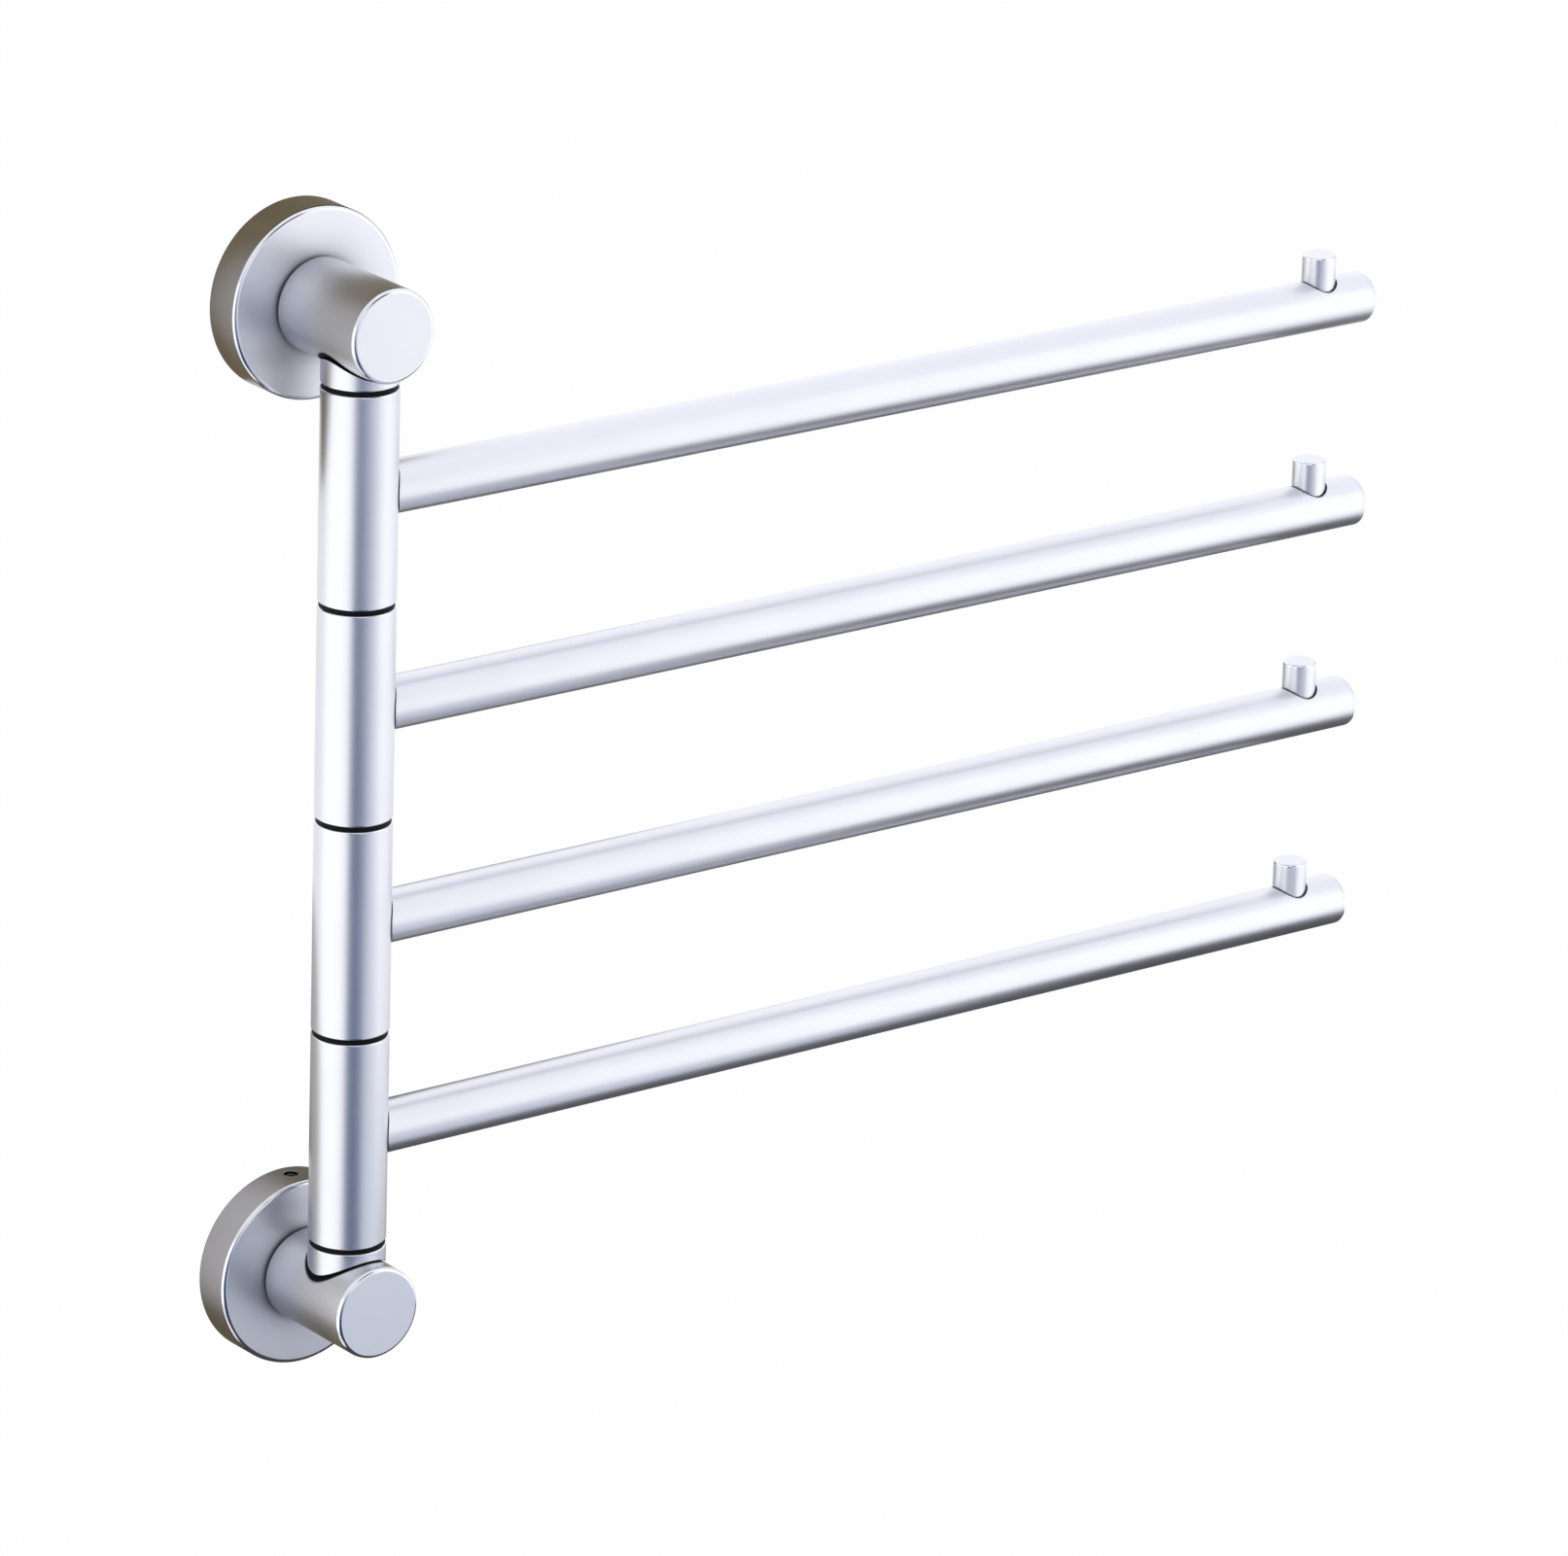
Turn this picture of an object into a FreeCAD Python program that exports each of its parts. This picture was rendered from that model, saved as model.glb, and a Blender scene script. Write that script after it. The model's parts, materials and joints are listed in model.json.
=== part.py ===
import FreeCAD, Part
import math
import os

# Wall-mounted towel rack with four round bars that swing on one upright column.
# Millimetres. The wall is the plane y = 0 and the room is on the -Y side, +Z is up, and the bars
# point along +X while they lie parallel to the wall. The origin is on the wall, midway between
# the two wall flanges.

# ---- column: sleeves that turn on a steel rod, parted by thin black washers ----
arm_count = 4
column_dia = 22.0            # sleeves and end collars
sleeve_length = 61.3
sleeve_edge = 0.3            # chamfer at both ends of a sleeve, and at a collar's open end
washer_thickness = 1.5
washer_inset = 0.4           # how far a washer's rim lies inside the sleeves' surface
rod_dia = 8.0
rod_grip = 5.0               # how far the rod reaches past a post's axis
rod_edge = 0.8
bush_wall = 3.4
bush_length = 12.0
bush_recess = 0.3            # from a sleeve's end face in to its bush

# ---- end posts, and the collars that sit on them like a saddle ----
post_dia = 27.0
post_reach = 49.0            # from the wall to the post's front face
post_edge = 1.2              # rounding of the post's front edge
post_root_edge = 0.4
post_root_gap = 0.3          # a fine groove, where the post's skin ends short of the flange
post_root_groove = 0.8       # depth of that groove
column_standoff = 33.0       # from the wall to the column's axis
collar_neck = 3.0            # the collar's height where it is shortest, over the post's crown
spigot_wall = 3.0            # of the collar's spigot, round the rod
spigot_floor = 4.0           # from the post's axis out to the floor of the spigot's socket
tenon_dia = 12.0             # of the post's tenon, in the flange cup
tenon_short = 0.4            # how far the tenon ends inside the cup's front wall

# ---- wall flanges: a cup that hides a bracket ----
flange_dia = 55.0
flange_depth = 12.0
cup_wall = 2.5               # thickness of the cup's rim
cup_front = 2.5              # thickness of the cup's front
cup_edge = 1.2               # rounding of the cup's front edge
cup_back_edge = 0.3
cup_corner = 1.5             # bevel inside the cup, where the rim meets the front
bracket_slack = 0.2          # round the bracket, inside the cup
bracket_gap = 1.5            # from the bracket's front to the cup's front wall
bracket_edge = 0.5
bracket_bore_gap = 1.5       # round the clamping washer, inside the bracket's bore
wall_hole_dia = 5.0
wall_hole_sink = 9.0         # diameter of the countersink
wall_hole_spacing = 33.0
groove_depth = 2.0           # for the grub screw's tip, round the bracket's edge
groove_lip = 0.5             # metal left in front of the groove
groove_flare = 0.3           # how much wider the groove is at its mouth, each side

# ---- screws ----
grub_dia = 4.0
grub_recess = 0.6            # from the cup's rim in to the screw's outer end
grub_tip = 0.6
grub_key = 2.0               # hexagon socket, across flats
grub_key_depth = 1.8
post_screw_dia = 6.0
post_screw_head_dia = 10.5
post_screw_head = 3.0
post_screw_key = 4.0
post_screw_key_depth = 1.8
post_screw_wall = 4.0        # metal between the screw's hole and the rod's hole
clamp_washer_dia = 18.0
clamp_washer_thickness = 1.2
root_screw_dia = 5.0
root_screw_grip = 10.0       # how far the screw reaches into the bar's root plug
root_head_dia = 8.0
root_head_gap = 1.0          # from the screw's head to the rod
root_key = 3.0
root_key_depth = 1.3
screw_tip = 0.6
hole_over = 1.0              # how much deeper a blind hole is than what it holds

# ---- arms ----
bar_dia = 15.0
bar_wall = 1.2
bar_reach = 358.0            # from the column's axis to the arm's end
root_plug_spare = 5.0        # how far the root plug runs past its screw
cap_head = 1.6               # thickness of the end cap outside the bar
cap_edge = 1.3               # rounding of the arm's end
cap_tail_spare = 6.0         # how far the end cap's tail runs past the peg
peg_dia = 10.0
peg_inset = 17.0             # from the arm's end to the peg's axis
peg_height = 8.0             # above the bar
peg_edge = 0.8               # rounding of the peg's top
peg_seat_cut = 2.0           # how deep the peg's seat is cut into the cap's tail
peg_tail_dia = 5.0
peg_floor = 2.5              # metal left under the peg's tail

# ---- fits, measured on the radius ----
running_gap = 0.05           # bush on rod
fit_gap = 0.05               # pieces that stay together, such as a spigot in its socket
peg_hole_gap = 0.35          # round the peg, where it passes through the bar's wall
clearance_gap = 0.2          # screws in plain holes
seam_gap = 0.3               # between a saddle and the crown of the round it sits on
seam_ease = 0.8              # how much wider a saddle's round is, so that its seam opens at the sides
root_seam_gap = 0.1          # between a bar's coped end and its sleeve

# ---- sizes that follow ----
column_r = column_dia / 2
rod_r = rod_dia / 2
post_r = post_dia / 2
flange_r = flange_dia / 2
bar_r = bar_dia / 2
bar_bore_r = bar_r - bar_wall
sleeve_bore_r = rod_r + running_gap + bush_wall
pitch = sleeve_length + washer_thickness
stack_height = arm_count * pitch + washer_thickness
collar_reach = post_r + collar_neck
post_spacing = stack_height + 2 * collar_reach
spigot_r = rod_r + fit_gap + spigot_wall
bracket_thickness = flange_depth - cup_front - bracket_gap
bracket_r = flange_r - cup_wall - bracket_slack
bracket_bore_r = clamp_washer_dia / 2 + bracket_bore_gap

UP = FreeCAD.Vector(0, 0, 1)
OUT = FreeCAD.Vector(0, -1, 0)
ALONG = FreeCAD.Vector(1, 0, 0)
ORIGIN = FreeCAD.Vector(0, 0, 0)


# ---- shapes ----
def outline(corners):
    """A closed outline through (radius, distance) corners. A third number rounds its corner."""
    points = [FreeCAD.Vector(corner[0], 0, corner[1]) for corner in corners]
    runs = []
    edges = []
    for i, corner in enumerate(corners):
        here = points[i]
        if len(corner) == 2:
            runs.append((here, here))
            continue
        back = (points[i - 1] - here).normalize()
        ahead = (points[(i + 1) % len(points)] - here).normalize()
        half = back.getAngle(ahead) / 2
        touch = corner[2] / math.tan(half)
        crown = here + (back + ahead).normalize() * (corner[2] / math.sin(half) - corner[2])
        runs.append((here + back * touch, here + ahead * touch))
        edges.append(Part.Arc(runs[-1][0], crown, runs[-1][1]).toShape())
    for i, run in enumerate(runs):
        edges.append(Part.makeLine(run[1], runs[(i + 1) % len(runs)][0]))
    return Part.Wire(Part.__sortEdges__(edges))


def turned(corners, base, direction):
    """A solid of revolution. Each corner of its half outline is (radius, distance along the axis),
    with a rounding as a third number where it has one."""
    solid = Part.Face(outline(corners)).revolve(ORIGIN, UP, 360)
    solid.Placement = FreeCAD.Placement(base, FreeCAD.Rotation(UP, direction))
    return solid


def pin(radius, start, end, edge, base, direction):
    """A plain round bar between two distances along its axis, with both ends chamfered."""
    return turned(
        [(0, start), (radius - edge, start), (radius, start + edge),
         (radius, end - edge), (radius - edge, end), (0, end)], base, direction)


def drill(radius, start, end, base, direction):
    """The metal that a drill of this radius takes between two distances along its axis."""
    return Part.makeCylinder(radius, end - start, base + direction * start, direction)


def hex_key(across_flats, start, end, base, direction):
    """The hexagon socket that a key fits, between two distances along the screw's axis."""
    radius = across_flats / math.sqrt(3)
    corners = [FreeCAD.Vector(radius * math.cos(math.radians(60 * i)),
                              radius * math.sin(math.radians(60 * i)), start) for i in range(7)]
    prism = Part.Face(Part.makePolygon(corners)).extrude(UP * (end - start))
    prism.Placement = FreeCAD.Placement(base, FreeCAD.Rotation(UP, direction))
    return prism


# ---- one end fitting: the post's axis leaves the wall at the origin, the column rises from it ----
column_foot = OUT * column_standoff
cup_floor = flange_depth - cup_front
groove_half = grub_dia / 2 + clearance_gap
groove_centre = bracket_thickness - groove_lip - groove_flare - groove_half
groove_floor_r = bracket_r - groove_depth
post_screw_end = column_standoff - rod_r - fit_gap - post_screw_wall - hole_over


def wall_bracket():
    """A ring with two countersunk wall holes, and a groove round its edge for the grub screw."""
    mouth = groove_half + groove_flare
    ring = turned(
        [(bracket_bore_r, 0), (bracket_r - bracket_edge, 0), (bracket_r, bracket_edge),
         (bracket_r, groove_centre - mouth), (groove_floor_r, groove_centre - groove_half),
         (groove_floor_r, groove_centre + groove_half), (bracket_r, groove_centre + mouth),
         (bracket_r, bracket_thickness), (bracket_bore_r, bracket_thickness)], ORIGIN, OUT)
    hole_r = wall_hole_dia / 2
    sink_depth = wall_hole_sink / 2 - hole_r
    for side in (-1, 1):
        centre = ALONG * (side * wall_hole_spacing / 2)
        ring = ring.cut(drill(hole_r, 0, bracket_thickness, centre, OUT))
        sink = Part.makeCone(hole_r, wall_hole_sink / 2, sink_depth,
                             centre + OUT * (bracket_thickness - sink_depth), OUT)
        ring = ring.cut(sink)
    return ring


def flange_cup():
    """An open-backed cup, bored for the post's tenon and cross-drilled for the grub screw."""
    inner_r = flange_r - cup_wall
    cup = turned(
        [(inner_r, 0), (flange_r - cup_back_edge, 0), (flange_r, cup_back_edge),
         (flange_r, flange_depth, cup_edge), (tenon_dia / 2 + fit_gap, flange_depth),
         (tenon_dia / 2 + fit_gap, cup_floor),
         (inner_r - cup_corner, cup_floor), (inner_r, cup_floor - cup_corner)], ORIGIN, OUT)
    grub_hole = drill(grub_dia / 2 + fit_gap, groove_floor_r, flange_r + hole_over,
                      OUT * groove_centre, UP)
    return cup.cut(grub_hole)


def grub_screw():
    """A headless screw that clamps the cup on the bracket's groove."""
    base = OUT * groove_centre
    outer_end = flange_r - grub_recess
    screw = pin(grub_dia / 2, groove_floor_r + fit_gap, outer_end, grub_tip, base, UP)
    return screw.cut(hex_key(grub_key, outer_end - grub_key_depth, outer_end, base, UP))


def post():
    """A solid round post with a tenon at its root and a stepped socket for collar and rod."""
    tenon_r = tenon_dia / 2
    neck_r = post_r - post_root_groove
    skin_start = flange_depth + post_root_gap
    body = turned(
        [(0, cup_floor + tenon_short), (tenon_r, cup_floor + tenon_short),
         (tenon_r, flange_depth), (neck_r, flange_depth), (neck_r, skin_start),
         (post_r - post_root_edge, skin_start), (post_r, skin_start + post_root_edge),
         (post_r, post_reach, post_edge), (0, post_reach)], ORIGIN, OUT)
    socket = drill(spigot_r + fit_gap, spigot_floor, collar_reach, column_foot, UP)
    rod_hole = drill(rod_r + fit_gap, -rod_grip - hole_over, collar_reach, column_foot, UP)
    screw_hole = drill(post_screw_dia / 2 + fit_gap, 0, post_screw_end + hole_over, ORIGIN, OUT)
    return body.cut([socket, rod_hole, screw_hole])


def clamp_washer():
    """The washer under the post screw's head, inside the cup."""
    hole_r = post_screw_dia / 2 + clearance_gap
    start = cup_floor - clamp_washer_thickness
    return turned([(hole_r, start), (clamp_washer_dia / 2, start),
                   (clamp_washer_dia / 2, cup_floor), (hole_r, cup_floor)], ORIGIN, OUT)


def headed_screw(radius, head_r, head_start, head_end, end, key, key_depth, base, direction):
    """A socket screw whose head lies between two distances along its axis."""
    solid = turned(
        [(0, head_start), (head_r - screw_tip, head_start), (head_r, head_start + screw_tip),
         (head_r, head_end), (radius, head_end), (radius, end - screw_tip),
         (radius - screw_tip, end), (0, end)], base, direction)
    return solid.cut(hex_key(key, head_start, head_start + key_depth, base, direction))


def post_screw():
    """Pulls the post's root down on the cup's front, from inside the cup."""
    head_end = cup_floor - clamp_washer_thickness
    return headed_screw(post_screw_dia / 2, post_screw_head_dia / 2, head_end - post_screw_head,
                        head_end, post_screw_end, post_screw_key, post_screw_key_depth,
                        ORIGIN, OUT)


def saddle_collar():
    """A short collar coped to sit on the post, with a spigot that fills the post's socket."""
    collar = turned(
        [(0, 0), (column_r, 0), (column_r, collar_reach - sleeve_edge),
         (column_r - sleeve_edge, collar_reach), (0, collar_reach)], column_foot, UP)
    cope = drill(post_r + seam_gap + seam_ease, flange_depth, post_reach + column_r,
                 UP * -seam_ease, OUT)
    spigot = drill(spigot_r, spigot_floor, collar_reach - sleeve_edge, column_foot, UP)
    rod_hole = drill(rod_r + fit_gap, 0, collar_reach, column_foot, UP)
    return collar.cut(cope).fuse(spigot).cut(rod_hole).removeSplitter()


# ---- column ----
def pivot_rod():
    reach = post_spacing / 2 + rod_grip
    return pin(rod_r, -reach, reach, rod_edge, column_foot, UP)


def washer(height):
    """A washer between two sleeves, with its lower face at this height."""
    inner_r = rod_r + clearance_gap
    outer_r = column_r - washer_inset
    top = height + washer_thickness
    return turned([(inner_r, height), (outer_r, height), (outer_r, top), (inner_r, top)],
                  column_foot, UP)


# ---- one arm: its axis leaves the column's axis at the height given ----
cap_shoulder = bar_reach - cap_head
peg_place = bar_reach - peg_inset
peg_seat = bar_bore_r - peg_seat_cut
plug_r = bar_bore_r - fit_gap
peg_tail_foot = peg_floor - plug_r
root_screw_end = column_r + root_screw_grip
root_plug_end = root_screw_end + root_plug_spare


def sleeve(height):
    """A tube with chamfered ends, and a hole in its side for the screw that holds the bar."""
    low = height - sleeve_length / 2
    high = height + sleeve_length / 2
    tube = turned(
        [(sleeve_bore_r, low), (column_r - sleeve_edge, low), (column_r, low + sleeve_edge),
         (column_r, high - sleeve_edge), (column_r - sleeve_edge, high), (sleeve_bore_r, high)],
        column_foot, UP)
    middle = column_foot + UP * height
    screw_hole = drill(root_screw_dia / 2 + clearance_gap, 0, column_r, middle, ALONG)
    head_seat = drill(root_head_dia / 2 + clearance_gap, 0, sleeve_bore_r, middle, ALONG)
    return tube.cut([screw_hole, head_seat])


def bush(height, side):
    """A plain bush in the upper (side 1) or lower (side -1) end of a sleeve."""
    inner_r = rod_r + running_gap
    outer_r = sleeve_bore_r - fit_gap
    far = height + side * (sleeve_length / 2 - bush_recess)
    near = far - side * bush_length
    return turned([(inner_r, near), (outer_r, near), (outer_r, far), (inner_r, far)],
                  column_foot, UP)


def root_cope(height):
    """The round that a bar and its root plug are coped to: the sleeve with the seam around it."""
    return drill(column_r + root_seam_gap, height - bar_dia, height + bar_dia, column_foot, UP)


def bar(height):
    """A tube coped to its sleeve, with a hole in its top for the peg."""
    base = column_foot + UP * height
    tube = turned([(bar_bore_r, 0), (bar_r, 0), (bar_r, cap_shoulder), (bar_bore_r, cap_shoulder)],
                  base, ALONG)
    peg_hole = drill(peg_dia / 2 + peg_hole_gap, 0, bar_dia, base + ALONG * peg_place, UP)
    return tube.cut([root_cope(height), peg_hole])


def root_plug(height):
    """A plug in the bar's root, tapped for the root screw and coped with the bar."""
    base = column_foot + UP * height
    plug = turned([(0, 0), (plug_r, 0), (plug_r, root_plug_end), (0, root_plug_end)], base, ALONG)
    screw_hole = drill(root_screw_dia / 2 + fit_gap, 0, root_screw_end + hole_over, base, ALONG)
    return plug.cut([root_cope(height), screw_hole])


def root_screw(height):
    """Draws the bar against its sleeve, from inside the sleeve's bore."""
    return headed_screw(root_screw_dia / 2, root_head_dia / 2, rod_r + root_head_gap,
                        sleeve_bore_r, root_screw_end, root_key, root_key_depth,
                        column_foot + UP * height, ALONG)


def end_cap(height):
    """A rounded cap on a long tail, which stiffens the bar's end and takes the peg."""
    base = column_foot + UP * height
    tail_end = peg_place - peg_dia / 2 - cap_tail_spare
    cap = turned(
        [(0, tail_end), (plug_r, tail_end), (plug_r, cap_shoulder), (bar_r, cap_shoulder),
         (bar_r, bar_reach, cap_edge), (0, bar_reach)], base, ALONG)
    foot = base + ALONG * peg_place
    seat = drill(peg_dia / 2 + fit_gap, peg_seat, bar_r, foot, UP)
    tail_hole = drill(peg_tail_dia / 2 + fit_gap, peg_tail_foot - fit_gap, bar_r, foot, UP)
    return cap.cut([seat, tail_hole])


def peg(height):
    """An upright peg that keeps a towel from sliding off the bar's end."""
    top = bar_r + peg_height
    return turned(
        [(0, peg_tail_foot), (peg_tail_dia / 2, peg_tail_foot), (peg_tail_dia / 2, peg_seat),
         (peg_dia / 2, peg_seat), (peg_dia / 2, top, peg_edge), (0, top)],
        column_foot + ALONG * peg_place + UP * height, UP)


# ---- the assembly, one file for each piece ----
def save(node, *solids):
    shape = solids[0] if len(solids) == 1 else Part.makeCompound(list(solids))
    shape.exportStep(os.path.join("parts", node + ".step"))


os.makedirs("parts", exist_ok=True)

fitting = {
    "wall_bracket": wall_bracket,
    "flange_cup": flange_cup,
    "grub_screw": grub_screw,
    "post": post,
    "clamp_washer": clamp_washer,
    "post_screw": post_screw,
    "saddle_collar": saddle_collar,
}
for piece, make in fitting.items():
    lower = make()
    upper = lower.copy()
    upper.rotate(ORIGIN, OUT, 180)     # the upper fitting is the same one, turned over
    lower.translate(UP * (-post_spacing / 2))
    upper.translate(UP * (post_spacing / 2))
    save("lower_" + piece, lower)
    save("upper_" + piece, upper)

save("pivot_rod", pivot_rod())
for i in range(arm_count + 1):
    save("washer_" + str(i + 1), washer(stack_height / 2 - washer_thickness - i * pitch))

for i in range(arm_count):
    height = ((arm_count - 1) / 2 - i) * pitch
    number = "_" + str(i + 1)
    save("sleeve" + number, sleeve(height))
    save("bushes" + number, bush(height, 1), bush(height, -1))
    save("bar" + number, bar(height))
    save("root_plug" + number, root_plug(height))
    save("root_screw" + number, root_screw(height))
    save("end_cap" + number, end_cap(height))
    save("peg" + number, peg(height))
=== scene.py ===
import json
import math

import bmesh
import bpy
import numpy as np
from mathutils import Matrix, Vector

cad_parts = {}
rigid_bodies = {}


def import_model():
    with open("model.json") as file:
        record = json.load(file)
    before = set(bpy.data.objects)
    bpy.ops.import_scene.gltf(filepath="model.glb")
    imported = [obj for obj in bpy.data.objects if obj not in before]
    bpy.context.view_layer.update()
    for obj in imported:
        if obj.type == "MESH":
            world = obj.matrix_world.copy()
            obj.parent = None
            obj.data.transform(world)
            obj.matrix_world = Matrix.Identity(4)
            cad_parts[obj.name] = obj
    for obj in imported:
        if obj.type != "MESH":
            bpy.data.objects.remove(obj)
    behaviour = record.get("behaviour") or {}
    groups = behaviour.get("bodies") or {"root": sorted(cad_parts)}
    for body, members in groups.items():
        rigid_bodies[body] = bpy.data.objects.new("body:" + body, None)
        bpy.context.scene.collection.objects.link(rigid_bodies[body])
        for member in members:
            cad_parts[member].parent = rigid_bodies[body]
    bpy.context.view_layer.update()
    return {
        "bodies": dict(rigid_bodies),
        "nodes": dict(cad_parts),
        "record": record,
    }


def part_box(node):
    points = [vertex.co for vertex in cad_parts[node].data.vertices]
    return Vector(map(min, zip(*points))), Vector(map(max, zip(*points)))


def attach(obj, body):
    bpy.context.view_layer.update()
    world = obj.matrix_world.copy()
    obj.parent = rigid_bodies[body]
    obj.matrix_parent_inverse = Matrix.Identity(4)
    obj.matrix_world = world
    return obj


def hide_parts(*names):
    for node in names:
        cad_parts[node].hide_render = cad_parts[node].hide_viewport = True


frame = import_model()
mm = 0.001
print("stage: frame loaded,", len(frame["nodes"]), "nodes")


def measure(node):                        # lowest and highest corner of a CAD node, in millimetres
    low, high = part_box(node)
    return np.array(low) / mm, np.array(high) / mm


# turned shapes: an outline of (radius, distance) carried round an axis
def roundOff(corners, steps=4, hold=0.15, closed=True, coped=(), hexed=()):
    # Each corner is (radius, distance, rounding, finish). It becomes an arc of that rounding between its
    # two runs, with one more row on each run to keep the faces beside it flat. The finish is 1 on a
    # polished edge, -1 where shade is painted on a seam, gap or hole, and between them elsewhere, and a run
    # between two corners of one finish shares it.
    # The rows that come back are (radius, distance, coped, hexed, finish).
    table = np.array(corners, float)
    point, rounding, finish = table[:, :2], table[:, 2:3], table[:, 3]
    back, ahead = np.roll(point, 1, 0) - point, np.roll(point, -1, 0) - point
    backLength = np.linalg.norm(back, axis=1, keepdims=True)
    aheadLength = np.linalg.norm(ahead, axis=1, keepdims=True)
    back, ahead = back / backLength, ahead / aheadLength
    half = np.arccos(np.clip((back * ahead).sum(1, keepdims=True), -0.9999, 0.9999)) / 2
    run = rounding / np.tan(half)
    middle = (back + ahead) / np.linalg.norm(back + ahead, axis=1, keepdims=True)
    side = back - (back * middle).sum(1, keepdims=True) * middle
    side = side / np.linalg.norm(side, axis=1, keepdims=True)
    sweep = (np.pi / 2 - half) * np.linspace(1, -1, steps + 1)
    centre = point + middle * rounding / np.sin(half)
    arc = centre[:, None] + rounding[:, None] * (side[:, None] * np.sin(sweep)[..., None]
                                                 - middle[:, None] * np.cos(sweep)[..., None])
    backHold = np.minimum(hold, (backLength - run - np.roll(run, 1, 0)) / 3)
    aheadHold = np.minimum(hold, (aheadLength - run - np.roll(run, -1, 0)) / 3)
    place = np.concatenate([(point + back * (run + backHold))[:, None], arc,
                            (point + ahead * (run + aheadHold))[:, None]], 1)
    mark = np.zeros((len(point), 2))
    mark[list(coped), 0] = 1
    mark[list(hexed), 1] = 1
    runFinish = np.where(finish == np.roll(finish, -1), finish, 0)
    polishAndShade = np.repeat(finish[:, None], steps + 3, 1)
    polishAndShade[:, 0], polishAndShade[:, -1] = np.roll(runFinish, 1), runFinish
    rows = np.concatenate([place, np.repeat(mark[:, None], steps + 3, 1), polishAndShade[..., None]], 2)
    if closed:
        return rows.reshape(-1, 5)
    first, last = [[*point[end], 0, 0, 0] for end in (0, -1)]
    return np.concatenate([[first], rows[1:-1].reshape(-1, 5), [last]])


def addRows(rows, after, values, column=1):
    # more rows on the straight run after one row, at these distances (column 1) or radii (column 0)
    start, end = rows[after], rows[(after + 1) % len(rows)]
    share = (np.array(values, float)[:, None] - start[column]) / (end[column] - start[column])
    extra = start + share * (end - start)
    extra[:, 2:4] = 0
    return np.concatenate([rows[:after + 1], extra, rows[after + 1:]])


def rowAt(corner, steps=4, closed=True):
    # Number of the row that closes a corner. A corner has steps + 3 rows, but the first corner of an open
    # outline has one, on the axis.
    return (corner + closed) * (steps + 3) - closed


def hexStretch(angle):                    # how much further a hexagon's side lies than its flat's middle
    return 1 / np.cos((angle + np.pi / 6) % (np.pi / 3) - np.pi / 6)


def walkRound(first, last, left, right, mirrored):
    # the border of a block of grid cells, as row and column numbers, once round
    rows = np.concatenate([np.full(right - left, first), np.arange(first, last),
                           np.full(right - left, last), np.arange(last, first, -1)])
    columns = np.concatenate([np.arange(left, right), np.full(last - first, right),
                              np.arange(right, left, -1), np.full(last - first, left)])
    return (first + last - rows if mirrored else rows), columns


def turn(rows, columns, cope=None, closed=True, holes=()):
    # The surface of revolution: a row's radius turned through evenly spaced angles, at its distance along
    # the axis, plus cope(side, up) where the row is coped. A hole takes a block of cells out and runs
    # rings from the block's border to a circle, down the hole, and to the far block's border or a pole.
    angle = 2 * np.pi * np.arange(columns) / columns
    radius = rows[:, 0, None] * (1 + rows[:, 3, None] * (hexStretch(angle) - 1))
    side, up = radius * np.sin(angle), radius * np.cos(angle)
    along = rows[:, 1, None] + np.zeros(columns)
    if cope:
        along = along + rows[:, 2, None] * cope(side, up)
    points = np.stack([along, side, up], -1)
    number = np.arange(points[..., 0].size).reshape(points.shape[:2])
    cells = np.stack([number, np.roll(number, -1, 0), np.roll(number, (-1, -1), (0, 1)),
                      np.roll(number, -1, 1)], -1)
    keep = np.ones(number.shape, bool)
    keep[-1] = closed
    allPoints, polishAndShade = [points.reshape(-1, 3)], [np.repeat(rows[:, 4], columns)]
    quads, count = [], number.size
    for hole in holes:
        borders = []
        for place, (first, last) in enumerate(hole["blocks"]):
            left, right = hole["columns"]
            keep[first:last, np.arange(left, right) % columns] = False
            rowNumber, columnNumber = walkRound(first, last, left, right, place == 1)
            borders.append(number[rowNumber, columnNumber % columns])
        rings, ringPolishAndShade = holeRings(hole, [allPoints[0][border] for border in borders])
        inner = count + np.arange(rings.shape[0] * rings.shape[1]).reshape(rings.shape[:2])
        chain = np.stack([borders[0], *inner, *borders[1:]])
        quads.append(np.stack([chain[:-1], chain[1:], np.roll(chain[1:], -1, 1),
                               np.roll(chain[:-1], -1, 1)], -1).reshape(-1, 4))
        allPoints.append(rings.reshape(-1, 3))
        polishAndShade.append(np.repeat(ringPolishAndShade, rings.shape[1]))
        count += rings[..., 0].size
    quads.append(cells[keep])
    return np.concatenate(allPoints), np.concatenate(quads), np.concatenate(polishAndShade)


def holeRings(hole, borders):
    # Circles (radius, skin, height, finish): a circle lies on a round skin of that radius, lifted by
    # height, or with no skin on the plane at that height. Rings beside a border blend border and circle.
    centre, forward, across, upward = (np.array(vector, float) for vector in hole["axes"])
    offset = borders[0] - centre
    turnAngle = np.arctan2(offset @ across, offset @ forward)
    circles = []
    for radius, skin, height, _ in hole["circles"]:
        reach = radius * np.sin(turnAngle)
        lift = (np.sqrt(np.maximum(skin**2 - reach**2, 0)) if skin else 0) + height
        circles.append(centre + np.outer(radius * np.cos(turnAngle), forward)
                       + np.outer(reach, across) + np.outer(lift + 0 * reach, upward))
    plain = [0] * len(blendShares)
    rings = list(blendRings(borders[0], circles[0], hole["circles"][0][1])) + circles
    polishAndShade = plain + [circle[3] for circle in hole["circles"]]
    if len(borders) > 1:
        rings += list(blendRings(borders[1], circles[-1], hole["circles"][-1][1]))[::-1]
        polishAndShade += plain
    return np.array(rings), polishAndShade


blendShares = (0.3, 0.6, 0.85)            # how far the rings beside a block's border stand from it


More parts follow.
